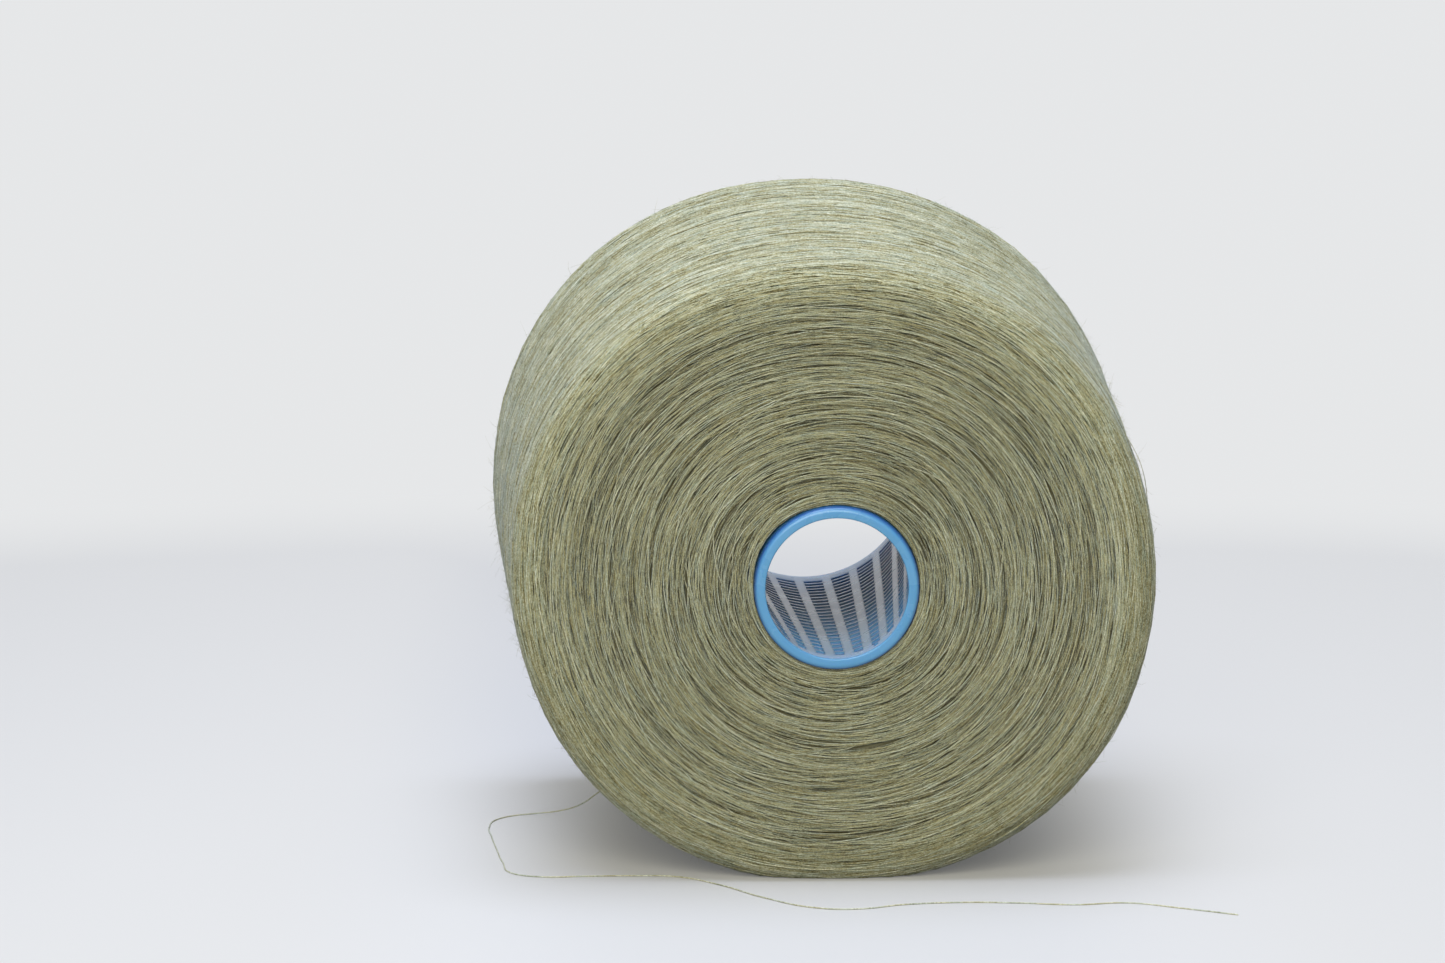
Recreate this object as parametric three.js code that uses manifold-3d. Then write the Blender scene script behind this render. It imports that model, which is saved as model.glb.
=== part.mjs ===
// Linen yarn cross-wound on a perforated conical tube. It lies on its side, nose end to -Y, and its
// loose end lies on the surface in front of it. Millimetres, +Z up.
import * as THREE from 'three';
import Module from 'manifold-3d';
import { mergeGeometries, mergeVertices } from 'three/addons/utils/BufferGeometryUtils.js';

const wasm = await Module();
wasm.setup();

const DEGREE = Math.PI / 180;

// Conical tube: a standard 4 degree 20 minute taper, 170 long
const TUBE_LENGTH = 170;
const TUBE_TAPER = Math.tan((4 + 20 / 60) * DEGREE);
const TUBE_NOSE_RADIUS = 18.8;
const TUBE_WALL = 2.5;
const LIP_ROUND = 1.1;
const LIP_BEVEL = 0.5;
const BASE_RIM_LENGTH = 3;
const BASE_RIM_PROUD = 0.9;

// Ladders of slots: ribs of one width run along the tube, so the slots widen with it. The real tube
// has twice as many rows; here each slot takes the place of every second one.
const COLUMNS = 24;
const SLOT_ROWS = 12;
const ROW_PITCH = 12.7;
const FIRST_ROW = 9.6;
const SLOT_LENGTH = 3.5;
const RIB_WIDTH = 2.4;
const COLUMN_TURN = 11 * DEGREE;

// Wound yarn, along the tube's axis from the nose
const YARN_START = 1.6;
const YARN_END = 151;
const SHOULDER_SET_BACK = 2.9;
const NOSE_RADIUS = 74.5;
const NOSE_SHOULDER = 12;
const BASE_RADIUS = 82.1;
const BASE_SHOULDER = 9;
const BASE_FACE_SET_BACK = 1;
const WINDING_GAP = 0.3;

// It is a little out of round, as a soft package is: an oval and four faint corners, each with the
// share of the radius that it adds and the turn of its first high side from +X
const OUT_OF_ROUND = [
  { order: 2, size: 0.0112, turn: -16.7 * DEGREE },
  { order: 4, size: 0.0069, turn: -41.8 * DEGREE },
];

// Where the package has lain, it is pressed flat by this much under its mean round
const FLAT_DEPTH = 3.4;

// The tube's nose centre, so that the origin lies under the middle of the part
const NOSE_Y = -85.29;

// The loose end's round section and the points of its route
const YARN_DIAMETER = 0.32;
const YARN_SIDES = 8;
const ROUTE_STEPS = 78;
const LYING = 0.2;
const ROUTE = [
  [-46.6, 5.9, 11.2],
  [-50.3, 6.2, 9.7],
  [-54.9, 7.0, 6.6],
  [-59.6, 8.3, 3.2],
  [-65.0, 10.0, 1.3],
  [-70.8, 11.3, 0.45],
  [-76.0, 10.0, LYING],
  [-80.4, 4.6, LYING],
  [-82.1, -6.8, LYING],
  [-81.2, -18.0, LYING],
  [-79.4, -35.0, LYING],
  [-77.4, -52.0, LYING],
  [-74.6, -65.0, LYING],
  [-68.0, -69.0, LYING],
  [-58.0, -68.6, LYING],
  [-46.4, -68.3, LYING],
  [-37.0, -69.4, LYING],
  [-27.0, -79.0, LYING],
  [-16.8, -94.5, LYING],
  [-5.0, -106.3, LYING],
  [4.0, -107.4, LYING],
  [14.0, -103.0, LYING],
  [27.6, -100.8, LYING],
  [40.0, -101.7, LYING],
  [53.0, -104.0, LYING],
  [65.0, -102.3, LYING],
  [76.0, -108.2, LYING],
  [88.0, -116.0, LYING],
];

const LATHE_STEPS = 96;
const TUBE_STEPS = 48;
const ARC_STEPS = 5;

// Half angle of the winding, which is also how far the axis rises as the part lies on its side
const sideStart = YARN_START + SHOULDER_SET_BACK + NOSE_SHOULDER;
const sideEnd = YARN_END - BASE_FACE_SET_BACK - BASE_SHOULDER;
const RISE = Math.atan((BASE_RADIUS - NOSE_RADIUS) / (sideEnd - sideStart));

const NOSE_Z = (NOSE_RADIUS - FLAT_DEPTH) * Math.cos(RISE) - sideStart * Math.sin(RISE);

function toSolid(geometry) {
  const bare = geometry.clone();
  bare.deleteAttribute('normal');
  bare.deleteAttribute('uv');
  const closed = mergeVertices(bare);
  return new wasm.Manifold(new wasm.Mesh({
    numProp: 3,
    vertProperties: new Float32Array(closed.attributes.position.array),
    triVerts: new Uint32Array(closed.index.array),
  }));
}

function toGeometry(solid) {
  const mesh = solid.getMesh();
  const geometry = new THREE.BufferGeometry();
  geometry.setAttribute('position', new THREE.BufferAttribute(mesh.vertProperties, 3));
  geometry.setIndex(new THREE.BufferAttribute(mesh.triVerts, 1));
  return geometry;
}

// Lathes turn about +Y: a profile point is (radius, distance along the axis from the nose)
function turned(profile, steps) {
  return new THREE.LatheGeometry([...profile, profile[0]], steps);
}

function arc(radius, along, round, from, to) {
  const points = [];
  for (let step = 0; step <= ARC_STEPS; step += 1) {
    const angle = from + (to - from) * (step / ARC_STEPS);
    points.push(new THREE.Vector2(radius + round * Math.cos(angle), along + round * Math.sin(angle)));
  }
  return points;
}

function tubeOuter(along) {
  return TUBE_NOSE_RADIUS + TUBE_TAPER * along;
}

function tubeProfile() {
  const inner = (along) => tubeOuter(along) - TUBE_WALL;
  const rim = TUBE_LENGTH - BASE_RIM_LENGTH;
  return [
    ...arc(TUBE_NOSE_RADIUS - LIP_ROUND, LIP_ROUND, LIP_ROUND, -Math.PI / 2, 0),
    new THREE.Vector2(tubeOuter(rim), rim),
    new THREE.Vector2(tubeOuter(rim) + BASE_RIM_PROUD, rim + BASE_RIM_PROUD),
    new THREE.Vector2(tubeOuter(TUBE_LENGTH) + BASE_RIM_PROUD, TUBE_LENGTH),
    new THREE.Vector2(inner(TUBE_LENGTH), TUBE_LENGTH),
    new THREE.Vector2(inner(LIP_ROUND), LIP_ROUND),
    new THREE.Vector2(inner(0) + LIP_BEVEL, 0),
  ];
}

function slotCutter(row, column) {
  const along = FIRST_ROW + row * ROW_PITCH;
  const middle = tubeOuter(along) - TUBE_WALL / 2;
  const width = (2 * Math.PI * middle) / COLUMNS - RIB_WIDTH;
  const cutter = new THREE.BoxGeometry(width, SLOT_LENGTH, 3 * TUBE_WALL);
  cutter.translate(0, along, middle);
  cutter.rotateY((column * 2 * Math.PI) / COLUMNS);
  return cutter;
}

function tubeGeometry() {
  const cutters = [];
  for (let row = 0; row < SLOT_ROWS; row += 1) {
    for (let column = 0; column < COLUMNS; column += 1) {
      cutters.push(slotCutter(row, column));
    }
  }
  const wall = toSolid(turned(tubeProfile(), TUBE_STEPS));
  const pierced = toGeometry(wall.subtract(toSolid(mergeGeometries(cutters))));
  return pierced.rotateY(COLUMN_TURN);
}

function windingProfile() {
  return [
    new THREE.Vector2(TUBE_NOSE_RADIUS / 2, YARN_START),
    ...arc(NOSE_RADIUS - NOSE_SHOULDER, sideStart, NOSE_SHOULDER, -Math.PI / 2, 0),
    ...arc(BASE_RADIUS - BASE_SHOULDER, sideEnd, BASE_SHOULDER, 0, Math.PI / 2),
    new THREE.Vector2(TUBE_NOSE_RADIUS / 2, YARN_END),
  ];
}

function boreProfile() {
  const past = 5;
  const bore = (along) => tubeOuter(along) + WINDING_GAP;
  return [
    new THREE.Vector2(0, -past),
    new THREE.Vector2(bore(-past), -past),
    new THREE.Vector2(bore(YARN_END + past), YARN_END + past),
    new THREE.Vector2(0, YARN_END + past),
  ];
}

function pressOutOfRound(geometry) {
  const points = geometry.attributes.position;
  for (let index = 0; index < points.count; index += 1) {
    const x = points.getX(index);
    const z = points.getZ(index);
    const angle = Math.atan2(z, x);
    let share = 1;
    for (const wave of OUT_OF_ROUND) {
      share += wave.size * Math.cos(wave.order * (angle - wave.turn));
    }
    points.setX(index, x * share);
    points.setZ(index, z * share);
  }
}

function windingGeometry() {
  const outside = turned(windingProfile(), LATHE_STEPS);
  pressOutOfRound(outside);
  const bore = turned(boreProfile(), LATHE_STEPS);
  const below = 4 * FLAT_DEPTH;
  const under = new THREE.BoxGeometry(3 * BASE_RADIUS, 3 * TUBE_LENGTH, below);
  under.rotateX(-RISE);
  const drop = NOSE_Z + below / 2;
  under.translate(0, -drop * Math.sin(RISE), -drop * Math.cos(RISE));
  return toGeometry(toSolid(outside).subtract(toSolid(bore)).subtract(toSolid(under)));
}

function looseEndGeometry() {
  const route = new THREE.CatmullRomCurve3(ROUTE.map((point) => new THREE.Vector3(...point)));
  const section = new THREE.Shape();
  for (let side = 0; side < YARN_SIDES; side += 1) {
    const angle = (side * 2 * Math.PI) / YARN_SIDES;
    const x = (YARN_DIAMETER / 2) * Math.cos(angle);
    const y = (YARN_DIAMETER / 2) * Math.sin(angle);
    if (side === 0) {
      section.moveTo(x, y);
    } else {
      section.lineTo(x, y);
    }
  }
  section.closePath();
  return new THREE.ExtrudeGeometry(section, {
    steps: ROUTE_STEPS,
    bevelEnabled: false,
    extrudePath: route,
  });
}

function piece(name, geometry, material) {
  const mesh = new THREE.Mesh(geometry, material);
  mesh.name = name;
  return mesh;
}

const linen = new THREE.MeshStandardMaterial({ color: 0x8a8a66, roughness: 0.85, metalness: 0 });
const bluePlastic = new THREE.MeshStandardMaterial({ color: 0x66a8e0, roughness: 0.35, metalness: 0 });

const cone = new THREE.Group();
cone.rotation.x = RISE;
cone.position.set(0, NOSE_Y, NOSE_Z);
cone.add(piece('yarn_package', windingGeometry(), linen));
cone.add(piece('winding_tube', tubeGeometry(), bluePlastic));

const part = new THREE.Group();
part.add(cone);
part.add(piece('loose_end', looseEndGeometry(), linen));

export default part;
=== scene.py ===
"""Linen yarn wound on a perforated conical tube, lying on its side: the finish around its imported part.

Lengths are in metres. Places along the tube count from its nose, and angles round it from +X to +Z.
"""
import math

import bmesh
import bpy
import numpy as np
from mathutils import Matrix, Vector

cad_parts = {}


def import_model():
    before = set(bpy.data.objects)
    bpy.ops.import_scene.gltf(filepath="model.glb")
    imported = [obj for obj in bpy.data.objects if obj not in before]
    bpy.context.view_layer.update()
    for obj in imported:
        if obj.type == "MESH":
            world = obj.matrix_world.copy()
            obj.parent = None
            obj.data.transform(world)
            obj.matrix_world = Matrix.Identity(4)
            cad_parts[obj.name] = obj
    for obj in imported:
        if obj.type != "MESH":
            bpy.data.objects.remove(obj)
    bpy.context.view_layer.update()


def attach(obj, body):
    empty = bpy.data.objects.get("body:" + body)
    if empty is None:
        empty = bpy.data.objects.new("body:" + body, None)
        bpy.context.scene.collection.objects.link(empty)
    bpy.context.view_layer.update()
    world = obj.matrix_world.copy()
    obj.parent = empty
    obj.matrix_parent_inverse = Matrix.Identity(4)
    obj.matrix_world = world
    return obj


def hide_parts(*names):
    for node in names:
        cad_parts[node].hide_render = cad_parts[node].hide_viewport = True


MM = 0.001

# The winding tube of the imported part. Its nose sits a little low in the yarn.
TUBE_LENGTH = 170 * MM
TUBE_TAPER = math.tan(math.radians(4 + 20 / 60))
TUBE_NOSE_RADIUS = 18.8 * MM
TUBE_WALL = 2.5 * MM
TUBE_NOSE_DROP = 0.3 * MM
LIP_ROUND = 1.1 * MM
LIP_BEVEL = 0.4 * MM
LIP_SEGMENTS = 9
FOOT_ROUND = 0.6 * MM
FOOT_SEGMENTS = 7
SMOOTH_UNDER = math.radians(16)
EDGE_SHADE = 0.6 * MM
BASE_RIM_LENGTH = 3 * MM
BASE_RIM_PROUD = 0.9 * MM

# The real tube's ladders of slots, with ribs of one width between them
COLUMNS = 24
SLOT_ROWS = 24
ROW_PITCH = 6.35 * MM
FIRST_ROW = 9.6 * MM
SLOT_LENGTH = 3.8 * MM
SLOT_BEVEL = 0.06 * MM
RUNG_ROUND = 0.6 * MM
RUNG_SEGMENTS = 3
RIB_WIDTH = 2.4 * MM
FIRST_COLUMN = math.radians(4)
SLOT_LINES = (-1.0, -0.5, 0.5, 1.0)
KEY_HOLE_ROW = (3.6 * MM, 6.0 * MM)
KEY_HOLE_COLUMN = 20

# The wound package
YARN_START = 1.6 * MM
YARN_END = 151 * MM
SHOULDER_SET_BACK = 2.9 * MM
NOSE_RADIUS = 74.5 * MM
NOSE_SHOULDER = 12 * MM
BASE_RADIUS = 82.1 * MM
BASE_SHOULDER = 9 * MM
BASE_FACE_SET_BACK = 1 * MM
BORE_GAP = 0.2 * MM
EDGE_ROUND = 0.9 * MM
FLAT_DEPTH = 3.4 * MM
NOSE_Y = -85.29 * MM
OUT_OF_ROUND = ((2, 0.0112, math.radians(-16.7)), (4, 0.0069, math.radians(-41.8)))
SIDE_START = YARN_START + SHOULDER_SET_BACK + NOSE_SHOULDER
SIDE_END = YARN_END - BASE_FACE_SET_BACK - BASE_SHOULDER
RISE = math.atan((BASE_RADIUS - NOSE_RADIUS) / (SIDE_END - SIDE_START))
NOSE_Z = (NOSE_RADIUS - FLAT_DEPTH) * math.cos(RISE) - SIDE_START * math.sin(RISE)

# The yarn itself: its size, and how far its turns sink in
YARN_RADIUS = 0.155 * MM
FACE_YARN_RADIUS = 0.128 * MM
YARN_SINK = 0.10 * MM
DEEPEST = 0.8 * MM
LOOSE_DIAMETER = 0.32 * MM
FLOOR_CLEARANCE = 0.2 * MM

# The yarn's thick and thin places, its slubs and its tips
UNEVENNESS = 0.13
SLUB_CHANCE = 0.004
SLUB_SWELL = 1.55
TIP_SHARE = 0.3

# The linen's colours along a yarn: how often each kind of change comes, and its share of the tone
FLECKS_PER_METRE = 2700.0
LENGTHS_PER_METRE = 300.0
HUES_PER_METRE = 160.0
TWISTS_PER_METRE = 1150.0
TONE_BASE = 0.005
FLECK_SHARE = 0.66
LENGTH_SHARE = 0.40
OWN_SHARE = 0.24
# Painted shade: DEPTH_SHADE darkens yarn that lies deep in the winding.
DEPTH_SHADE = 0.34
LOOSE_PALENESS = 0.07
PACKED_ALONG_PER_METRE = 60.0
PACKED_ACROSS_PER_METRE = 2600.0

# The loose end's route, in millimetres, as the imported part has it
LYING = 0.2
ROUTE = (
    (-46.6, 5.9, 11.2),
    (-50.3, 6.2, 9.7),
    (-54.9, 7.0, 6.6),
    (-59.6, 8.3, 3.2),
    (-65.0, 10.0, 1.3),
    (-70.8, 11.3, 0.45),
    (-76.0, 10.0, LYING),
    (-80.4, 4.6, LYING),
    (-82.1, -6.8, LYING),
    (-81.2, -18.0, LYING),
    (-79.4, -35.0, LYING),
    (-77.4, -52.0, LYING),
    (-74.6, -65.0, LYING),
    (-68.0, -69.0, LYING),
    (-58.0, -68.6, LYING),
    (-46.4, -68.3, LYING),
    (-37.0, -69.4, LYING),
    (-27.0, -79.0, LYING),
    (-16.8, -94.5, LYING),
    (-5.0, -106.3, LYING),
    (4.0, -107.4, LYING),
    (14.0, -103.0, LYING),
    (27.6, -100.8, LYING),
    (40.0, -101.7, LYING),
    (53.0, -104.0, LYING),
    (65.0, -102.3, LYING),
    (76.0, -108.2, LYING),
    (88.0, -116.0, LYING),
)

# The photograph's view of it
CAMERA_PLACE = (-49.827 * MM, -1015.561 * MM, 188.986 * MM)
CAMERA_PITCH = math.radians(5.804)
CAMERA_YAW = math.radians(1.458)
CAMERA_LENS = 102.56
CAMERA_SENSOR = 36.0
CAMERA_CLIP = (0.05, 100)

# The studio. The floor fades into the background between these distances from the part's middle. Near
# the part it glows as painted light, least beneath it and most beside it, which lightens the part's shadow
# on it. FLOOR_BOUNCE_LOSS and FILL keep the floor and the surroundings from lighting the part too much.
BACKGROUND = (0.79, 0.80, 0.81)
FLOOR_COLOUR = (0.735, 0.725, 0.71, 1)
FLOOR_RADIUS = 8
FLOOR_FADE = (0.32, 0.80)
FLOOR_GLOW = 0.14
FLOOR_GLOW_BESIDE = 0.62
FLOOR_GLOW_ACROSS = (0.045, 0.125)
FLOOR_GLOW_LEFT = 12 * MM
FLOOR_BOUNCE_LOSS = 0.55
FILL = 0.45
CARD_LENGTH = 1.2
CARD_HEIGHT = 0.5
CARD_BACK = 0.05
CARD_UP = 0.30


def look_from_the_photographs_place():
    data = bpy.data.cameras.new("camera")
    data.lens = CAMERA_LENS
    data.sensor_width = CAMERA_SENSOR
    data.clip_start, data.clip_end = CAMERA_CLIP
    camera = bpy.data.objects.new("camera", data)
    camera.location = CAMERA_PLACE
    camera.rotation_euler = (math.pi / 2 - CAMERA_PITCH, 0, -CAMERA_YAW)
    bpy.context.scene.collection.objects.link(camera)
    bpy.context.scene.camera = camera


def show(name, data):
    """A new object of the scene at the origin, unturned, with its place in its mesh or curve."""
    piece = bpy.data.objects.new(name, data)
    bpy.context.scene.collection.objects.link(piece)
    return piece


def finish_piece(piece, material, node):
    piece.data.materials.append(material)
    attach(piece, "root")
    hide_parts(node)
    return piece


# Nodes of the materials

def node(tree, kind, inputs=None, **settings):
    """A new shader node: inputs are values or the sockets that feed them, by name or number."""
    made = tree.nodes.new(kind)
    for setting, value in settings.items():
        setattr(made, setting, value)
    for name, value in (inputs or {}).items():
        if isinstance(value, bpy.types.NodeSocket):
            tree.links.new(value, made.inputs[name])
        else:
            made.inputs[name].default_value = value
    return made


def maths(tree, operation, first, second=0.0, third=0.0):
    made = node(tree, "ShaderNodeMath", {0: first, 1: second, 2: third}, operation=operation)
    return made.outputs[0]


def ramp(tree, value, stops):
    made = node(tree, "ShaderNodeValToRGB", {0: value})
    marks = made.color_ramp.elements
    while len(marks) < len(stops):
        marks.new(0.5)
    for mark, (place, colour) in zip(marks, stops):
        mark.position = place
        mark.color = (*colour, 1.0)
    return made.outputs[0]


def fibres_group():
    """Colour and height of a spun linen yarn.

    A point's place on it is the distance along it, the yarn's number and the turn round it.
    """
    tree = bpy.data.node_groups.new("Linen fibres", "ShaderNodeTree")
    face = tree.interface
    face.new_socket("Place", in_out="INPUT", socket_type="NodeSocketVector")
    face.new_socket("Paleness", in_out="INPUT", socket_type="NodeSocketFloat")
    face.new_socket("Colour", in_out="OUTPUT", socket_type="NodeSocketColor")
    face.new_socket("Height", in_out="OUTPUT", socket_type="NodeSocketFloat")
    given = node(tree, "NodeGroupInput").outputs
    place, paleness = given["Place"], given["Paleness"]
    parts = node(tree, "ShaderNodeSeparateXYZ", {0: place}).outputs
    along, number, turn = parts[0], parts[1], parts[2]

    def streaks(per_metre, spread, detail):
        spot = node(tree, "ShaderNodeCombineXYZ", {
            0: maths(tree, "MULTIPLY", along, per_metre),
            1: maths(tree, "MULTIPLY", number, spread),
            2: maths(tree, "MULTIPLY", turn, 2.0),
        })
        noise = node(tree, "ShaderNodeTexNoise", {
            "Vector": spot.outputs[0], "Scale": 1.0, "Detail": detail, "Roughness": 0.6,
        })
        return noise.outputs["Fac"]

    flecks = streaks(FLECKS_PER_METRE, spread=7.31, detail=2.0)
    lengths = streaks(LENGTHS_PER_METRE, spread=3.17, detail=2.0)
    own = node(tree, "ShaderNodeTexWhiteNoise", {"W": number}, noise_dimensions="1D").outputs["Value"]
    tone = maths(tree, "MULTIPLY_ADD", flecks, FLECK_SHARE, TONE_BASE)
    tone = maths(tree, "MULTIPLY_ADD", lengths, LENGTH_SHARE, tone)
    tone = maths(tree, "MULTIPLY_ADD", own, OWN_SHARE, tone)
    tone = maths(tree, "ADD", tone, paleness)
    # Painted shade: yarn that lies deeper in the winding is darkened.
    depth = node(tree, "ShaderNodeAttribute", attribute_name="depth").outputs["Fac"]
    tone = maths(tree, "MULTIPLY_ADD", depth, -DEPTH_SHADE, tone)
    olive = ramp(tree, tone, (
        (0.34, (0.060, 0.048, 0.018)),
        (0.50, (0.240, 0.208, 0.092)),
        (0.62, (0.425, 0.404, 0.230)),
        (0.74, (0.560, 0.558, 0.400)),
        (0.88, (0.800, 0.800, 0.640)),
    ))
    grey_green = ramp(tree, tone, (
        (0.34, (0.046, 0.050, 0.030)),
        (0.50, (0.196, 0.210, 0.138)),
        (0.62, (0.365, 0.398, 0.290)),
        (0.74, (0.510, 0.550, 0.435)),
        (0.88, (0.750, 0.790, 0.680)),
    ))
    hues = streaks(HUES_PER_METRE, spread=5.7, detail=1.0)
    lean = node(tree, "ShaderNodeMapRange", {"Value": hues, "From Min": 0.46, "From Max": 0.62})
    colour = node(tree, "ShaderNodeMix", {
        "Factor": lean.outputs[0], "A": olive, "B": grey_green,
    }, data_type="RGBA").outputs["Result"]
    twists = maths(tree, "MULTIPLY_ADD", along, TWISTS_PER_METRE, turn)
    twist = maths(tree, "SINE", maths(tree, "MULTIPLY", twists, math.tau))
    height = maths(tree, "MULTIPLY_ADD", flecks, 1.2, maths(tree, "MULTIPLY", twist, 0.25))
    node(tree, "NodeGroupOutput", {"Colour": colour, "Height": height})
    return tree


def yarn_material(name, fibres, place_kind, paleness):
    """Spun linen. place_kind names the attribute that follows the yarn, and None is the object's place."""
    material = bpy.data.materials.new(name)
    material.use_nodes = True
    tree = material.node_tree
    shader = tree.nodes["Principled BSDF"]
    if place_kind:
        place = node(tree, "ShaderNodeAttribute", attribute_name=place_kind).outputs["Vector"]
    else:
        place = node(tree, "ShaderNodeTexCoord").outputs["Object"]
    group = node(tree, "ShaderNodeGroup", node_tree=fibres)
    group.inputs["Paleness"].default_value = paleness
    tree.links.new(place, group.inputs["Place"])
    tree.links.new(group.outputs["Colour"], shader.inputs["Base Color"])
    bump = node(tree, "ShaderNodeBump", {
        "Height": group.outputs["Height"], "Strength": 0.5, "Distance": 0.03 * MM,
    })
    tree.links.new(bump.outputs[0], shader.inputs["Normal"])
    shader.inputs["Roughness"].default_value = 0.52
    shader.inputs["Specular IOR Level"].default_value = 0.12
    shader.inputs["Sheen Weight"].default_value = 0.3
    shader.inputs["Sheen Roughness"].default_value = 0.35
    shader.inputs["Sheen Tint"].default_value = (0.84, 0.97, 1.0, 1.0)
    return material


def packed_yarn_material():
    """The yarn that lies under the outermost turns, streaked round the package as the turns run, darkened
    as painted shade.
    """
    material = bpy.data.materials.new("packed yarn")
    material.use_nodes = True
    tree = material.node_tree
    shader = tree.nodes["Principled BSDF"]
    whole_place = node(tree, "ShaderNodeTexCoord").outputs["Object"]
    place = node(tree, "ShaderNodeSeparateXYZ", {0: whole_place}).outputs
    path = node(tree, "ShaderNodeAttribute", attribute_name="path").outputs["Fac"]
    spot = node(tree, "ShaderNodeCombineXYZ", {
        0: maths(tree, "MULTIPLY", place[0], PACKED_ALONG_PER_METRE),
        1: maths(tree, "MULTIPLY", path, PACKED_ACROSS_PER_METRE),
        2: maths(tree, "MULTIPLY", place[2], PACKED_ALONG_PER_METRE),
    })
    streaks = node(tree, "ShaderNodeTexNoise", {
        "Vector": spot.outputs[0], "Scale": 1.0, "Detail": 3.0, "Roughness": 0.65,
    }).outputs["Fac"]
    # Painted shade: these colours are far darker than the outer turns', for the shade in the gaps between
    # them.
    colour = ramp(tree, streaks, (
        (0.32, (0.040, 0.036, 0.018)),
        (0.50, (0.110, 0.102, 0.056)),
        (0.68, (0.220, 0.218, 0.140)),
    ))
    # Painted shade: the bore, and the crevice by the tube, take the tube's dark blue shade.
    painted_bore_shade = node(tree, "ShaderNodeAttribute", attribute_name="painted_bore_shade").outputs["Fac"]
    shaded = node(tree, "ShaderNodeMix", {
        "Factor": painted_bore_shade, "A": colour, "B": (0.010, 0.042, 0.140, 1.0),
    }, data_type="RGBA").outputs["Result"]
    tree.links.new(shaded, shader.inputs["Base Color"])
    bump = node(tree, "ShaderNodeBump", {"Height": streaks, "Strength": 0.8, "Distance": 0.2 * MM})
    tree.links.new(bump.outputs[0], shader.inputs["Normal"])
    shader.inputs["Roughness"].default_value = 0.8
    shader.inputs["Specular IOR Level"].default_value = 0.2
    return material


def plastic_material():
    """Light blue moulded plastic, satin, with a faint haze, and a darker blue painted along its edges as
    shade.
    """
    material = bpy.data.materials.new("tube plastic")
    material.use_nodes = True
    tree = material.node_tree
    shader = tree.nodes["Principled BSDF"]
    place = node(tree, "ShaderNodeTexCoord").outputs["Object"]
    haze = node(tree, "ShaderNodeTexNoise", {
        "Vector": place, "Scale": 90.0, "Detail": 4.0, "Roughness": 0.6,
    }).outputs["Fac"]
    grain = node(tree, "ShaderNodeTexNoise", {
        "Vector": place, "Scale": 1800.0, "Detail": 2.0,
    }).outputs["Fac"]
    colour = ramp(tree, haze, (
        (0.35, (0.106, 0.338, 0.622)),
        (0.70, (0.138, 0.378, 0.664)),
    ))
    # Painted shade: a darker blue where the lip's outer rounding meets the yarn and inside the slots'
    # walls.
    edge = node(tree, "ShaderNodeAttribute", attribute_name="edge").outputs["Fac"]
    painted_edge_shade = node(tree, "ShaderNodeMix", {
        "Factor": edge, "A": colour, "B": (0.022, 0.110, 0.370, 1.0),
    }, data_type="RGBA").outputs["Result"]
    tree.links.new(painted_edge_shade, shader.inputs["Base Color"])
    tree.links.new(maths(tree, "MULTIPLY_ADD", haze, 0.16, 0.20), shader.inputs["Roughness"])
    bump = node(tree, "ShaderNodeBump", {"Height": grain, "Strength": 0.15, "Distance": 0.02 * MM})
    tree.links.new(bump.outputs[0], shader.inputs["Normal"])
    shader.inputs["Subsurface Weight"].default_value = 0.25
    shader.inputs["Subsurface Radius"].default_value = (0.6, 1.0, 2.0)
    shader.inputs["Subsurface Scale"].default_value = 1.5 * MM
    return material


# The wound surface

ARC_POINTS = 40
OUTLINE_STEPS = 1600


def arc(radius, along, round_by, start, end):
    angles = np.linspace(start, end, ARC_POINTS)
    return np.stack([radius + round_by * np.cos(angles), along + round_by * np.sin(angles)], axis=1)


def tube_outer(along):
    return TUBE_NOSE_RADIUS + TUBE_TAPER * along


def wound_outline():
    """Half outline of the package, from the bore at its nose over its side to the bore at its base.

    Gives the distance along it, (radius, place along the tube) and the outward normal at each, and the
    distances at which its four roundings start and end.
    """
    nose_edge = tube_outer(YARN_START) + BORE_GAP + EDGE_ROUND
    base_edge = tube_outer(YARN_END) + BORE_GAP + EDGE_ROUND
    roundings = [
        arc(nose_edge, YARN_START + EDGE_ROUND, EDGE_ROUND, -math.pi, -math.pi / 2),
        arc(NOSE_RADIUS - NOSE_SHOULDER, SIDE_START, NOSE_SHOULDER, -math.pi / 2, 0),
        arc(BASE_RADIUS - BASE_SHOULDER, SIDE_END, BASE_SHOULDER, 0, math.pi / 2),
        arc(base_edge, YARN_END - EDGE_ROUND, EDGE_ROUND, math.pi / 2, math.pi),
    ]
    corners = np.concatenate(roundings)
    lengths = np.concatenate([[0], np.cumsum(np.linalg.norm(np.diff(corners, axis=0), axis=1))])
    marks = lengths.reshape(len(roundings), -1)[:, [0, -1]].ravel()
    path = np.linspace(0, lengths[-1], OUTLINE_STEPS)
    points = np.stack([np.interp(path, lengths, corners[:, axis]) for axis in (0, 1)], axis=1)
    tangent = np.gradient(points, path, axis=0)
    normal = np.stack([tangent[:, 1], -tangent[:, 0]], axis=1)
    return path, points, normal, marks


OUTLINE_PATH, OUTLINE_POINTS, OUTLINE_NORMALS, MARKS = wound_outline()
NOSE_FACE_END, NOSE_SHOULDER_END, BASE_SHOULDER_START, BASE_SHOULDER_END = MARKS[2:6]
PATH_END = MARKS[7]


def at_path(values, path):
    return np.interp(path, OUTLINE_PATH, values)


def out_of_the_tubes_frame(across, along, up):
    """Places in the row frame of places across, along and above the tube's own axis."""
    y = NOSE_Y + along * math.cos(RISE) - up * math.sin(RISE)
    z = NOSE_Z + along * math.sin(RISE) + up * math.cos(RISE)
    return np.stack([across, y, z], axis=-1)


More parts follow.
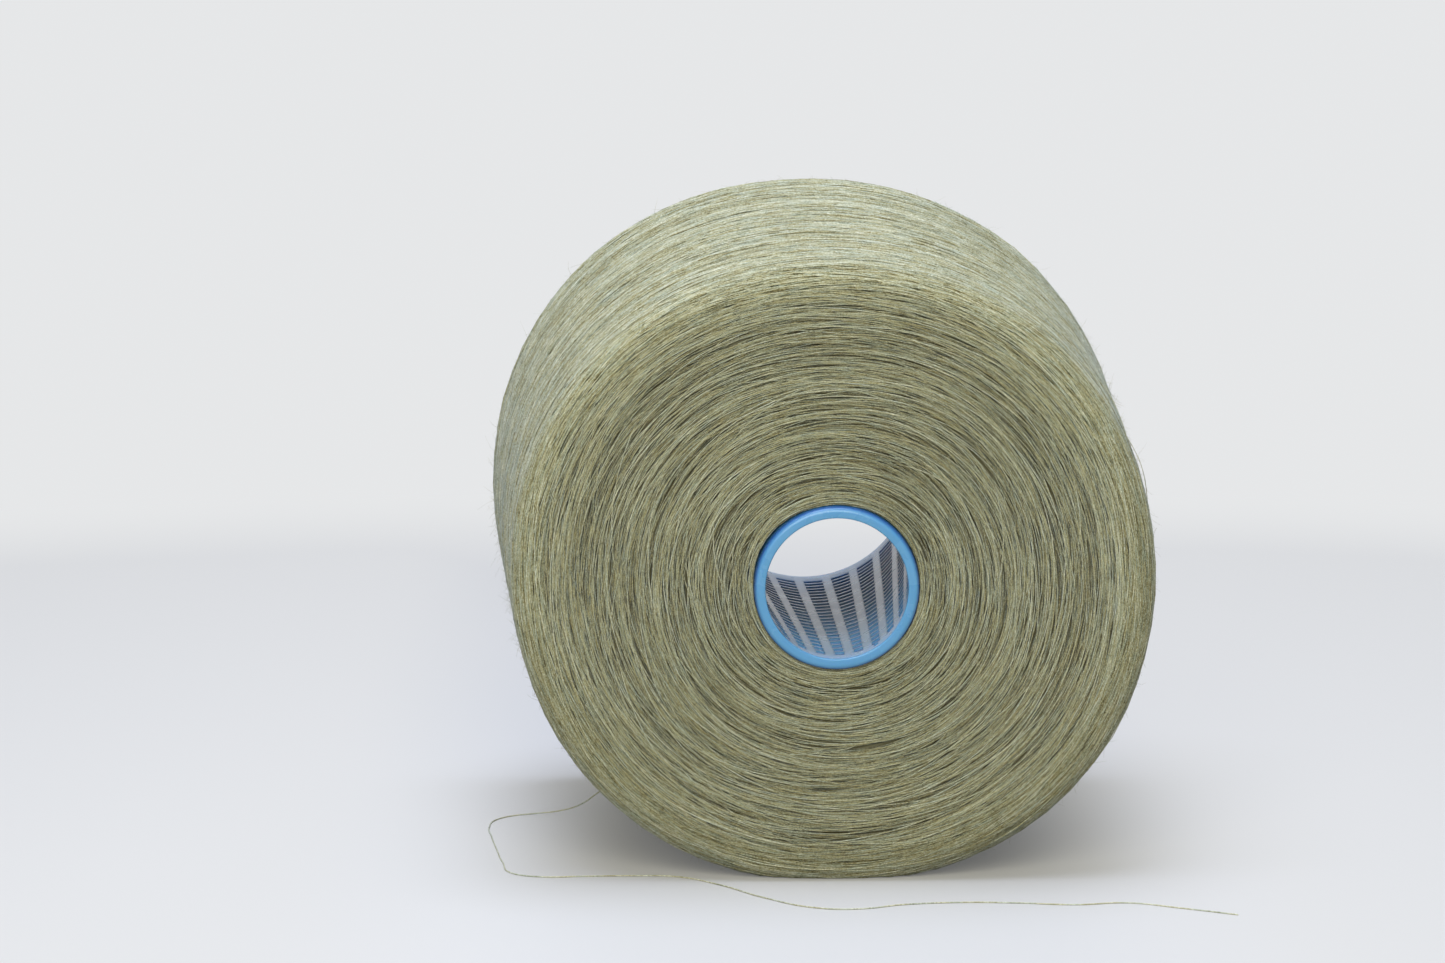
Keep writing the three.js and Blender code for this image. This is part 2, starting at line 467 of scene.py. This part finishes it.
def on_winding(path, angle, height):
    """Places at a height over the wound surface, which is a little out of round."""
    radius = at_path(OUTLINE_POINTS[:, 0], path) + height * at_path(OUTLINE_NORMALS[:, 0], path)
    along = at_path(OUTLINE_POINTS[:, 1], path) + height * at_path(OUTLINE_NORMALS[:, 1], path)
    share = 1.0
    for order, size, turn in OUT_OF_ROUND:
        share = share + size * np.cos(order * (angle - turn))
    return out_of_the_tubes_frame(radius * share * np.cos(angle), along, radius * share * np.sin(angle))


def outward_at(path, angle):
    radial = at_path(OUTLINE_NORMALS[:, 0], path)
    along = at_path(OUTLINE_NORMALS[:, 1], path)
    y = along * math.cos(RISE) - radial * np.sin(angle) * math.sin(RISE)
    z = along * math.sin(RISE) + radial * np.sin(angle) * math.cos(RISE)
    return np.stack([radial * np.cos(angle), y, z], axis=-1)


# Lengths of yarn as closed three-sided strands, many to a mesh

SIDES = 3
STRAND_CORNERS = np.radians((330.0, 90.0, 210.0))
SHORTEST = 1e-12


def unit(vectors):
    return vectors / np.maximum(np.linalg.norm(vectors, axis=-1, keepdims=True), SHORTEST)


class Strands:
    """Collects lengths of yarn and makes one mesh of them, with each point's place on its yarn."""

    def __init__(self):
        self.points = []
        self.places = []
        self.depths = []
        self.quads = []
        self.caps = []
        self.count = 0
        self.corner_count = 0

    def add(self, centres, outward, radii, depth=None):
        """centres and outward hold (strand, step, xyz), and radii and depth (strand, step)."""
        strands, steps = radii.shape
        depth = np.zeros(radii.shape) if depth is None else depth
        self.depths.append(np.repeat(depth.ravel(), SIDES))
        ahead = unit(np.gradient(centres, axis=1))
        beside = unit(np.cross(outward, ahead))
        above = np.cross(ahead, beside)
        cosines = np.cos(STRAND_CORNERS)[None, None, :, None]
        sines = np.sin(STRAND_CORNERS)[None, None, :, None]
        spokes = cosines * beside[:, :, None, :] + sines * above[:, :, None, :]
        corners = centres[:, :, None, :] + radii[:, :, None, None] * spokes
        lengths = np.linalg.norm(np.diff(centres, axis=1), axis=2)
        along = np.concatenate([np.zeros((strands, 1)), np.cumsum(lengths, axis=1)], axis=1)
        numbers = self.count + np.arange(strands)
        places = np.empty((strands, steps, SIDES, 3))
        places[..., 0] = along[:, :, None]
        places[..., 1] = numbers[:, None, None]
        places[..., 2] = np.arange(SIDES) / SIDES
        first = self.corner_count + np.arange(strands)[:, None, None] * steps * SIDES
        ring = first + np.arange(steps - 1)[None, :, None] * SIDES
        side = np.arange(SIDES)[None, None, :]
        following = (side + 1) % SIDES
        next_ring = ring + SIDES
        quads = np.stack([ring + side, ring + following, next_ring + following, next_ring + side],
                         axis=-1)
        starts = first[:, 0, :] + np.array([[2, 1, 0]])
        ends = first[:, 0, :] + (steps - 1) * SIDES + np.array([[0, 1, 2]])
        self.points.append(corners.reshape(-1, 3))
        self.places.append(places.reshape(-1, 3))
        self.quads.append(quads.reshape(-1, 4))
        self.caps.append(np.concatenate([starts, ends]))
        self.count += strands
        self.corner_count += strands * steps * SIDES

    def mesh(self, name):
        points = np.concatenate(self.points)
        places = np.concatenate(self.places)
        quads = np.concatenate(self.quads)
        caps = np.concatenate(self.caps)
        mesh = bpy.data.meshes.new(name)
        mesh.from_pydata(points.tolist(), [], quads.tolist() + caps.tolist())
        places_layer = mesh.attributes.new("strand", "FLOAT_VECTOR", "POINT")
        places_layer.data.foreach_set("vector", places.astype(np.float32).ravel())
        depths_layer = mesh.attributes.new("depth", "FLOAT", "POINT")
        depths_layer.data.foreach_set("value", np.concatenate(self.depths).astype(np.float32))
        mesh.shade_smooth()
        return mesh


def wander(draws, shape, spread, passes):
    """Smooth uneven values along each strand, spread about nought."""
    values = draws.normal(size=shape)
    for _ in range(passes):
        padded = np.pad(values, ((0, 0), (1, 1)), mode="edge")
        values = (padded[:, :-2] + 2 * values + padded[:, 2:]) / 4
    return spread * values / values.std()


def uneven_radii(draws, shape, radius):
    """A spun yarn's thick and thin places, with a slub here and there, and closed ends."""
    radii = radius * (1 + wander(draws, shape, UNEVENNESS, 1))
    slubs = draws.random(shape) < SLUB_CHANCE
    radii = radii * np.where(slubs, SLUB_SWELL, 1.0)
    radii[:, 0] = radius * TIP_SHARE
    radii[:, -1] = radius * TIP_SHARE
    return radii


def lay_turns(strands, draws, path, angle, height, radius):
    """Adds yarn laid on the package along path and angle, each (strand, step), and flat where it lies."""
    centres = on_winding(path, angle, height)
    centres[..., 2] = np.maximum(centres[..., 2], FLOOR_CLEARANCE)
    # How deep each strand lies, for its painted shade.
    depth = np.clip(-height / DEEPEST, 0, 1)
    strands.add(centres, outward_at(path, angle), uneven_radii(draws, path.shape, radius), depth)


# Strokes of cross winding. Pairs of numbers are the least and the most, in millimetres.
SIDE_STROKES = 200
SIDE_SEEDS = (11, 12)
SIDE_MEAN_RADIUS = 78 * MM
TURNS_PER_STROKE = 4.2
TURNS_SPREAD = 0.25
SIDE_STEP = 7.5 * MM
TURN_BACK_SHARE = 0.04
TURN_BACK_SPEED = 0.02
NOSE_ENDS = (0, 12)
BASE_ENDS = (3, 13)
SIDE_HEIGHTS = (-0.32, 0.08)
SIDE_PATH_WANDER = 0.12 * MM
SIDE_HEIGHT_WANDER = 0.09 * MM
SIDE_END_TUCK = 0.3 * MM


def side_turns():
    """The outermost strokes of cross winding, from one end of the package to the other and back."""
    pieces = []
    for part, seed in enumerate(SIDE_SEEDS):
        draws = np.random.default_rng(seed)
        count = SIDE_STROKES // 2
        steps = round(TURNS_PER_STROKE * math.tau * SIDE_MEAN_RADIUS / SIDE_STEP)
        share = np.linspace(0, 1, steps)[None, :]
        speed = np.clip(np.minimum(share, 1 - share) / TURN_BACK_SHARE, TURN_BACK_SPEED, 1)
        eased = np.cumsum(speed, axis=1) / speed.sum()
        forward = (np.arange(count) % 2 == 0)[:, None]
        eased = np.where(forward, eased, 1 - eased)
        nose_end = NOSE_FACE_END + draws.uniform(*NOSE_ENDS, (count, 1)) * MM
        base_end = BASE_SHOULDER_START + draws.uniform(*BASE_ENDS, (count, 1)) * MM
        path = nose_end + (base_end - nose_end) * eased
        path = path + wander(draws, (count, steps), SIDE_PATH_WANDER, 2)
        turns = TURNS_PER_STROKE + draws.uniform(-TURNS_SPREAD, TURNS_SPREAD, (count, 1))
        angle = draws.uniform(0, math.tau, (count, 1)) + math.tau * turns * share
        height = draws.uniform(*SIDE_HEIGHTS, (count, 1)) * MM
        height = height + wander(draws, (count, steps), SIDE_HEIGHT_WANDER, 1) - YARN_SINK
        height[:, 0] -= SIDE_END_TUCK
        height[:, -1] -= SIDE_END_TUCK
        strands = Strands()
        lay_turns(strands, draws, path, angle, height, YARN_RADIUS)
        pieces.append(show(f"side_turns_{part + 1}", strands.mesh(f"side_turns_{part + 1}")))
    return pieces


# Arcs on the ends. They are shorter, calmer and in finer steps near the tube, and tighter out at the
# shoulder. Pairs are the least and the most, or the mean and the spread for ARC_BOW, and ARC_LENGTHS,
# ARC_SLANT, ARC_BOW and ARC_HEIGHTS are in millimetres.
ARC_CHOICES = 400
ARC_LENGTHS = (26, 84)
ARC_LENGTH_RADIUS = 40 * MM
ARC_LENGTH_SHARES = (0.6, 1.2)
ARC_STEP_RADIUS = 20 * MM
FEWEST_ARC_STEPS = 5
CALM_RADIUS = 45 * MM
CALMEST = 0.45
CALMEST_HEIGHT = 0.75
ARC_SLANT = 2.2
ARC_BOW = (0.6, 0.7)
BOW_LEVEL = 0.33
ARC_HEIGHTS = (-0.34, 0.08)
ARC_PATH_WANDER = 0.05 * MM
ARC_HEIGHT_WANDER = 0.06 * MM
ARC_END_TUCK = 0.5 * MM
LOOSENS_OVER = 14 * MM
TIGHTEST = 0.5
NOSE_SEEDS = (21, 22)
NOSE_ARCS = 2150
NOSE_ARCS_FROM = 0.15 * MM
NOSE_ARCS_PAST_FACE = 20 * MM
NOSE_ARC_STEP = 3.0 * MM
BASE_SEED = 31
BASE_ARCS = 1700
BASE_ARCS_BEFORE_FACE = 10 * MM
BASE_ARC_STEP = 5.0 * MM


def face_arcs(name, seed, first_path, last_path, count, finest_step):
    """Turns on an end of the package: near-round arcs, where each stroke of the winding turned back."""
    draws = np.random.default_rng(seed)
    choices = np.linspace(first_path, last_path, ARC_CHOICES)
    weights = np.sqrt(at_path(OUTLINE_POINTS[:, 0], choices))
    middle = draws.choice(choices, count, p=weights / weights.sum())
    middle = middle + draws.uniform(-0.5, 0.5, count) * (choices[1] - choices[0])
    radius = at_path(OUTLINE_POINTS[:, 0], middle)
    length = draws.uniform(*ARC_LENGTHS, count) * MM
    length = length * np.clip(radius / ARC_LENGTH_RADIUS, *ARC_LENGTH_SHARES)
    step = finest_step * np.sqrt(radius / ARC_STEP_RADIUS)
    steps = np.maximum(np.round(length / step), FEWEST_ARC_STEPS).astype(int) + 1
    centre_angle = draws.uniform(0, math.tau, count)
    strands = Strands()
    for size in np.unique(steps):
        chosen = steps == size
        place = np.linspace(-1, 1, size)[None, :]
        half = (length / radius / 2)[chosen][:, None]
        one_each = (chosen.sum(), 1)
        calm = np.clip(radius[chosen][:, None] / CALM_RADIUS, CALMEST, 1)
        slant = draws.normal(0, ARC_SLANT, one_each) * MM * calm
        bow = draws.normal(*ARC_BOW, one_each) * MM * calm
        path = middle[chosen][:, None] + slant * place + bow * (place ** 2 - BOW_LEVEL)
        path = np.clip(path + wander(draws, path.shape, ARC_PATH_WANDER, 1), first_path, PATH_END)
        angle = centre_angle[chosen][:, None] + half * place
        looseness = 1
        if first_path < NOSE_FACE_END:
            looseness = np.clip((NOSE_FACE_END - path) / LOOSENS_OVER + TIGHTEST, TIGHTEST, 1)
        height = draws.uniform(*ARC_HEIGHTS, one_each) * MM * looseness
        height = height * np.maximum(calm, CALMEST_HEIGHT) - YARN_SINK
        height = height + wander(draws, path.shape, ARC_HEIGHT_WANDER, 1)
        height = height - ARC_END_TUCK * np.abs(place) ** 5
        lay_turns(strands, draws, path, angle, height, FACE_YARN_RADIUS)
    return show(name, strands.mesh(name))


BODY_SINK = 0.75 * MM
BODY_ROWS = 110
BODY_STEPS = 128
BODY_CLEARANCE = 0.3 * MM


def package_body():
    """The wound body that the outermost turns lie on, spun from its outline round the tube.

    Its path attribute streaks it, and another attribute marks the bore, which is painted in the tube's
    dark blue shade.
    """
    bm = bmesh.new()
    outline = np.linspace(0, PATH_END, BODY_ROWS)
    rows = [(at_path(OUTLINE_POINTS[:, 0], p), at_path(OUTLINE_POINTS[:, 1], p), p) for p in outline]
    path_layer = bm.verts.layers.float.new("path")
    painted_bore_shade_layer = bm.verts.layers.float.new("painted_bore_shade")
    verts = []
    for radius, along, path in rows:
        vert = bm.verts.new((radius, along, 0))
        vert[path_layer] = path
        # Painted shade: the bore's edges are marked for the tube's dark blue shade.
        vert[painted_bore_shade_layer] = 1.0 if path in (0, PATH_END) else 0.0
        verts.append(vert)
    edges = [bm.edges.new(pair) for pair in zip(verts, verts[1:] + verts[:1])]
    bmesh.ops.spin(bm, geom=verts + edges, cent=(0, 0, 0), axis=(0, 1, 0), angle=math.tau,
                   steps=BODY_STEPS, use_merge=True)
    bmesh.ops.recalc_face_normals(bm, faces=bm.faces)
    for vert in bm.verts:
        path = vert[path_layer]
        angle = math.atan2(vert.co.z, vert.co.x)
        point = on_winding(np.array(path), np.array(angle), np.array(-BODY_SINK))
        vert.co = (point[0], point[1], max(point[2], BODY_CLEARANCE))
    mesh = bpy.data.meshes.new("package_body")
    bm.to_mesh(mesh)
    bm.free()
    mesh.shade_smooth()
    return show("package_body", mesh)


# Stray hairs. HAIR_LENGTH is the shape and the scale of a gamma spread, in millimetres.
HAIRS = 7400
HAIR_SEED = 41
HAIR_RADIUS = 0.027 * MM
HAIR_TAPER = (1.0, 0.85, 0.4)
HAIR_THICKNESS_SHARES = (0.7, 1.2)
HAIR_LENGTH = (1.6, 0.75)
SHORTEST_HAIR = 0.5 * MM
HAIR_HEADING = 0.55
HAIR_LIFTS = (8, 60)
HAIR_ARCH = 0.35
HAIR_CURL = 0.25
HAIR_ROOT = 0.05 * MM


def stray_fibres(count, seed):
    """Fine linen hairs that stand off the wound yarn."""
    draws = np.random.default_rng(seed)
    choices = np.linspace(SHORTEST_HAIR, PATH_END - SHORTEST_HAIR, 500)
    weights = at_path(OUTLINE_POINTS[:, 0], choices)
    path = draws.choice(choices, (count, 1), p=weights / weights.sum())
    angle = draws.uniform(0, math.tau, (count, 1))
    radius = at_path(OUTLINE_POINTS[:, 0], path)
    length = draws.gamma(*HAIR_LENGTH, (count, 1)) * MM + SHORTEST_HAIR
    heading = draws.normal(0, HAIR_HEADING, (count, 1))
    heading = heading + np.where(draws.random((count, 1)) < 0.5, 0, math.pi)
    lift = np.radians(draws.uniform(*HAIR_LIFTS, (count, 1)))
    share = np.array([[0.0, 0.5, 1.0]])
    forward = length * np.cos(lift) * share
    rise = length * np.sin(lift) * (share + draws.normal(0, HAIR_ARCH, (count, 1)) * (share - share ** 2))
    curl = draws.normal(0, HAIR_CURL, (count, 1)) * length * (share - share ** 2) * 2
    path_at = path + forward * np.sin(heading) + curl * np.cos(heading)
    angle_at = angle + (forward * np.cos(heading) - curl * np.sin(heading)) / radius
    centres = on_winding(path_at, angle_at, rise - HAIR_ROOT)
    centres[..., 2] = np.maximum(centres[..., 2], FLOOR_CLEARANCE)
    strands = Strands()
    radii = HAIR_RADIUS * np.array([HAIR_TAPER]) * draws.uniform(*HAIR_THICKNESS_SHARES, (count, 1))
    strands.add(centres, outward_at(path_at, angle_at), radii)
    return show("stray_fibres", strands.mesh("stray_fibres"))


# Sprung threads: first and last angle in degrees, then place past the shoulder and rise in millimetres
RAISED_THREADS = ((46, 21, 4.0, 1.5), (29, 10, 2.0, 1.1))
RAISED_SEED = 5
RAISED_STEPS = 40
RAISED_RADIUS = 0.11 * MM
RAISED_DRIFT = 2.0 * MM
RAISED_SINK = 0.1 * MM


def raised_threads():
    """Two lengths that have sprung off the shoulder, on the right of the view."""
    strands = Strands()
    draws = np.random.default_rng(RAISED_SEED)
    for start, end, place, rise in RAISED_THREADS:
        share = np.linspace(0, 1, RAISED_STEPS)[None, :]
        angle = np.radians(start + (end - start) * share)
        path = NOSE_SHOULDER_END + place * MM - RAISED_DRIFT * share
        height = rise * MM * np.sin(math.pi * share) ** 2 - RAISED_SINK
        strands.add(on_winding(path, angle, height), outward_at(path, angle),
                    uneven_radii(draws, path.shape, RAISED_RADIUS))
    return show("raised_threads", strands.mesh("raised_threads"))


# The winding tube

SHARP_OVER = math.radians(50)
CLOSE = 0.01 * MM
END_CLEARANCE = 1 * MM
BASE_RIM_RISE = 0.5 * MM


def tube_inner(along):
    return tube_outer(along) - TUBE_WALL


def slot_half_angle(along):
    return math.pi / COLUMNS - RIB_WIDTH / 2 / tube_inner(along)


def tube_rows():
    """Places along the tube of its lines of edges, and which bands between them hold slots."""
    rows = [0.0, *KEY_HOLE_ROW]
    slots = []
    for row in range(SLOT_ROWS):
        middle = FIRST_ROW + row * ROW_PITCH
        slots.append(len(rows))
        rows += [middle - SLOT_LENGTH / 2, middle + SLOT_LENGTH / 2]
    rim = TUBE_LENGTH - BASE_RIM_LENGTH
    rows += [rim, rim + BASE_RIM_RISE, TUBE_LENGTH]
    return rows, slots


def winding_tube():
    """A flat ladder of slots, rolled into a cone and thickened inwards, with its edges rounded."""
    rows, slots = tube_rows()
    lines_per_column = len(SLOT_LINES) + 1
    lines = COLUMNS * lines_per_column
    bm = bmesh.new()
    bmesh.ops.create_grid(bm, x_segments=lines, y_segments=len(rows) - 1, size=1.0)
    bm.verts.ensure_lookup_table()
    bm.faces.ensure_lookup_table()
    along_layer = bm.verts.layers.float.new("along")
    angle_layer = bm.verts.layers.float.new("angle")
    across = sorted({round(vert.co.x, 5) for vert in bm.verts})
    upward = sorted({round(vert.co.y, 5) for vert in bm.verts})
    line_of = {place: index for index, place in enumerate(across)}
    row_of = {place: index for index, place in enumerate(upward)}
    cut = []
    for face in bm.faces:
        line = min(line_of[round(vert.co.x, 5)] for vert in face.verts)
        row = min(row_of[round(vert.co.y, 5)] for vert in face.verts)
        column, strip = divmod(line, lines_per_column)
        in_slot = row in slots and strip < len(SLOT_LINES) - 1
        in_key_hole = row == 1 and column == KEY_HOLE_COLUMN and strip == 1
        if in_slot or in_key_hole:
            cut.append(face)
    for vert in bm.verts:
        line = line_of[round(vert.co.x, 5)]
        along = rows[row_of[round(vert.co.y, 5)]]
        column, strip = divmod(line, lines_per_column)
        half = slot_half_angle(along)
        offset = SLOT_LINES[strip] * half if strip < len(SLOT_LINES) else math.pi / COLUMNS
        vert[along_layer] = along
        vert[angle_layer] = FIRST_COLUMN + column * math.tau / COLUMNS + offset
        proud = BASE_RIM_PROUD if along > TUBE_LENGTH - BASE_RIM_LENGTH else 0
        angle = vert[angle_layer]
        radius = tube_outer(along) + proud
        vert.co = (radius * math.cos(angle), along, radius * math.sin(angle))
    bmesh.ops.delete(bm, geom=cut, context="FACES")
    bmesh.ops.remove_doubles(bm, verts=bm.verts, dist=CLOSE)
    bmesh.ops.recalc_face_normals(bm, faces=bm.faces)
    copied = bmesh.ops.extrude_face_region(bm, geom=list(bm.faces), use_keep_orig=True)
    for vert in (item for item in copied["geom"] if isinstance(item, bmesh.types.BMVert)):
        radius = tube_inner(vert[along_layer])
        angle = vert[angle_layer]
        vert.co = (radius * math.cos(angle), vert[along_layer], radius * math.sin(angle))
    bmesh.ops.recalc_face_normals(bm, faces=bm.faces)

    def sharp(edge):
        return len(edge.link_faces) == 2 and edge.calc_face_angle() > SHARP_OVER

    def on_rim(edge, along):
        return all(abs(vert.co.y - along) < CLOSE for vert in edge.verts)

    def radius_of(edge):
        return math.hypot(edge.verts[0].co.x, edge.verts[0].co.z)

    middle = TUBE_NOSE_RADIUS - TUBE_WALL / 2
    for outer, offset in ((True, LIP_ROUND), (False, LIP_BEVEL)):
        lip = [edge for edge in bm.edges
               if sharp(edge) and on_rim(edge, 0) and (radius_of(edge) > middle) == outer]
        bmesh.ops.bevel(bm, geom=lip, offset=offset, offset_type="OFFSET", affect="EDGES",
                        segments=LIP_SEGMENTS, profile=0.5, material=-1, clamp_overlap=True)
    feet = [edge for edge in bm.edges if sharp(edge) and on_rim(edge, TUBE_LENGTH)]
    bmesh.ops.bevel(bm, geom=feet, offset=FOOT_ROUND, offset_type="OFFSET", affect="EDGES",
                    segments=FOOT_SEGMENTS, profile=0.5, material=-1, clamp_overlap=True)

    def across_a_rung(edge):
        first, second = edge.verts
        inside = all(math.hypot(vert.co.x, vert.co.z) < tube_inner(vert.co.y) + CLOSE
                     for vert in edge.verts)
        return inside and abs(first.co.y - second.co.y) < CLOSE

    rungs = [edge for edge in bm.edges if sharp(edge) and across_a_rung(edge)
             and END_CLEARANCE < edge.verts[0].co.y < TUBE_LENGTH - END_CLEARANCE]
    bmesh.ops.bevel(bm, geom=rungs, offset=RUNG_ROUND, offset_type="OFFSET", affect="EDGES",
                    segments=RUNG_SEGMENTS, profile=0.5, material=-1, clamp_overlap=True)
    edges = [edge for edge in bm.edges if sharp(edge)]
    bmesh.ops.bevel(bm, geom=edges, offset=SLOT_BEVEL, offset_type="OFFSET", affect="EDGES",
                    segments=1, profile=0.5, material=-1, clamp_overlap=True)
    # Painted shade: how far each point lies in shade, at the lip's outer edge and in the slots' walls, for
    # a darker blue.
    painted_shade_layer = bm.verts.layers.float.new("edge")
    for vert in bm.verts:
        inset = tube_outer(max(vert.co.y, 0)) - math.hypot(vert.co.x, vert.co.z)
        if vert.co.y < KEY_HOLE_ROW[0] - SLOT_BEVEL:
            shade = 1 - inset / EDGE_SHADE
        else:
            shade = min((TUBE_WALL - inset) / RUNG_ROUND, inset / EDGE_SHADE)
        vert[painted_shade_layer] = min(max(shade, 0), 1)
    tilt = RISE + TUBE_NOSE_DROP / TUBE_LENGTH
    stand = Matrix.Translation((0, NOSE_Y, NOSE_Z - TUBE_NOSE_DROP)) @ Matrix.Rotation(tilt, 4, "X")
    bmesh.ops.transform(bm, matrix=stand, verts=bm.verts)
    mesh = bpy.data.meshes.new("slotted_tube")
    bm.to_mesh(mesh)
    bm.free()
    mesh.shade_smooth()
    mesh.set_sharp_from_angle(angle=SMOOTH_UNDER)
    return show("slotted_tube", mesh)


# The loose end

def loose_end():
    """The free end of the yarn, off the package's left side and along the surface in front of it."""
    curve = bpy.data.curves.new("loose_yarn", "CURVE")
    curve.dimensions = "3D"
    curve.bevel_depth = LOOSE_DIAMETER / 2
    curve.bevel_resolution = 2
    curve.resolution_u = 8
    curve.use_fill_caps = True
    spline = curve.splines.new("BEZIER")
    spline.bezier_points.add(len(ROUTE) - 1)
    for point, place in zip(spline.bezier_points, ROUTE):
        point.co = Vector(place) * MM
        point.handle_left_type = "AUTO"
        point.handle_right_type = "AUTO"
    return show("loose_yarn", curve)


# Floor, light and background

def floor_material():
    """A pale satin table top that runs out into the plain background."""
    material = bpy.data.materials.new("table top")
    material.use_nodes = True
    tree = material.node_tree
    shader = tree.nodes["Principled BSDF"]
    shader.inputs["Base Color"].default_value = FLOOR_COLOUR
    shader.inputs["Roughness"].default_value = 0.5
    shader.inputs["Specular IOR Level"].default_value = 0.15
    place = node(tree, "ShaderNodeTexCoord").outputs["Object"]
    distance = node(tree, "ShaderNodeVectorMath", {0: place}, operation="LENGTH").outputs["Value"]
    fade = node(tree, "ShaderNodeMapRange", {
        "Value": distance, "From Min": FLOOR_FADE[0], "From Max": FLOOR_FADE[1],
    }, interpolation_type="SMOOTHSTEP")
    # Painted light: the floor glows beside the part, more on its right, to lighten the part's shadow
    # there.
    sideways = node(tree, "ShaderNodeSeparateXYZ", {0: place}).outputs[0]
    across = maths(tree, "ABSOLUTE", maths(tree, "ADD", sideways, FLOOR_GLOW_LEFT))
    glow = node(tree, "ShaderNodeMapRange", {
        "Value": across, "From Min": FLOOR_GLOW_ACROSS[0], "From Max": FLOOR_GLOW_ACROSS[1],
        "To Min": FLOOR_GLOW, "To Max": FLOOR_GLOW_BESIDE,
    }, interpolation_type="SMOOTHSTEP")
    kept = maths(tree, "MAXIMUM", fade.outputs[0], glow.outputs[0])
    far = node(tree, "ShaderNodeEmission", {"Color": (*BACKGROUND, 1), "Strength": 1.0})
    mix = node(tree, "ShaderNodeMixShader", {0: kept, 1: shader.outputs[0], 2: far.outputs[0]})
    rays = node(tree, "ShaderNodeLightPath").outputs
    seen = maths(tree, "MAXIMUM", rays["Is Camera Ray"], rays["Is Glossy Ray"])
    unseen = maths(tree, "SUBTRACT", 1.0, seen)
    black = node(tree, "ShaderNodeBsdfDiffuse", {"Color": (0, 0, 0, 1)})
    dimmed = node(tree, "ShaderNodeMixShader", {
        0: maths(tree, "MULTIPLY", unseen, FLOOR_BOUNCE_LOSS), 1: mix.outputs[0], 2: black.outputs[0],
    })
    tree.links.new(dimmed.outputs[0], tree.nodes["Material Output"].inputs["Surface"])
    return material


def table_top():
    bm = bmesh.new()
    bmesh.ops.create_circle(bm, cap_ends=True, segments=96, radius=FLOOR_RADIUS)
    mesh = bpy.data.meshes.new("table_top")
    bm.to_mesh(mesh)
    bm.free()
    floor = show("table_top", mesh)
    floor.data.materials.append(floor_material())


def area_light(name, place, target, size, power, colour):
    data = bpy.data.lights.new(name, "AREA")
    data.shape = "RECTANGLE"
    data.size, data.size_y = size
    data.energy = power
    data.color = colour
    light = bpy.data.objects.new(name, data)
    light.location = place
    light.rotation_euler = (Vector(target) - Vector(place)).to_track_quat("-Z", "Y").to_euler()
    bpy.context.scene.collection.objects.link(light)


def card(name, across):
    """A dark card beside the set, out of the camera's sight, that keeps light off that side."""
    bm = bmesh.new()
    bmesh.ops.create_grid(bm, x_segments=1, y_segments=1, size=0.5)
    bmesh.ops.scale(bm, vec=(CARD_LENGTH, CARD_HEIGHT, 1), verts=bm.verts)
    stand = Matrix.Translation((across, CARD_BACK, CARD_UP)) @ Matrix.Rotation(math.pi / 2, 4, "Z")
    bmesh.ops.transform(bm, matrix=stand @ Matrix.Rotation(math.pi / 2, 4, "X"), verts=bm.verts)
    mesh = bpy.data.meshes.new(name)
    bm.to_mesh(mesh)
    bm.free()
    made = show(name, mesh)
    black = bpy.data.materials.new(name)
    black.use_nodes = True
    black.node_tree.nodes["Principled BSDF"].inputs["Base Color"].default_value = (0.05, 0.05, 0.05, 1)
    black.node_tree.nodes["Principled BSDF"].inputs["Roughness"].default_value = 1.0
    made.data.materials.append(black)
    made.visible_camera = False


def light_the_studio():
    world = bpy.data.worlds.new("studio")
    world.use_nodes = True
    background = world.node_tree.nodes["Background"]
    background.inputs["Color"].default_value = (*BACKGROUND, 1)
    rays = node(world.node_tree, "ShaderNodeLightPath").outputs
    seen = maths(world.node_tree, "MAXIMUM", rays["Is Camera Ray"], rays["Is Glossy Ray"])
    strength = maths(world.node_tree, "MULTIPLY_ADD", seen, 1 - FILL, FILL)
    world.node_tree.links.new(strength, background.inputs["Strength"])
    bpy.context.scene.world = world
    bpy.context.scene.view_settings.view_transform = "Standard"
    area_light("softbox_above", place=(-0.12, -0.15, 1.3), target=(0, 0, 0.05), size=(0.65, 1.1),
               power=12.0, colour=(0.90, 1.0, 1.28))
    area_light("softbox_in_front", place=(-0.2, -1.65, 0.85), target=(0, 0, 0.08), size=(1.2, 1.0),
               power=23.4, colour=(1.0, 0.97, 0.81))
    card("dark_card_left", across=-0.38)
    card("dark_card_right", across=0.30)


def main():
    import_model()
    look_from_the_photographs_place()

    fibres = fibres_group()
    wound = yarn_material("wound linen", fibres, "strand", 0.0)
    loose = yarn_material("loose linen", fibres, None, LOOSE_PALENESS)
    packed = packed_yarn_material()
    plastic = plastic_material()

    end = finish_piece(loose_end(), loose, "loose_end")
    finish_piece(package_body(), packed, "yarn_package")
    for piece in side_turns():
        finish_piece(piece, wound, "yarn_package")
    for part, seed in enumerate(NOSE_SEEDS):
        piece = face_arcs(f"nose_turns_{part + 1}", seed, NOSE_ARCS_FROM,
                          NOSE_FACE_END + NOSE_ARCS_PAST_FACE, NOSE_ARCS, NOSE_ARC_STEP)
        finish_piece(piece, wound, "yarn_package")
    piece = face_arcs("base_turns", BASE_SEED, BASE_SHOULDER_END - BASE_ARCS_BEFORE_FACE, PATH_END,
                      BASE_ARCS, BASE_ARC_STEP)
    finish_piece(piece, wound, "yarn_package")
    finish_piece(stray_fibres(HAIRS, HAIR_SEED), wound, "yarn_package")
    finish_piece(raised_threads(), wound, "yarn_package")
    finish_piece(winding_tube(), plastic, "winding_tube")

    table_top()
    light_the_studio()


main()
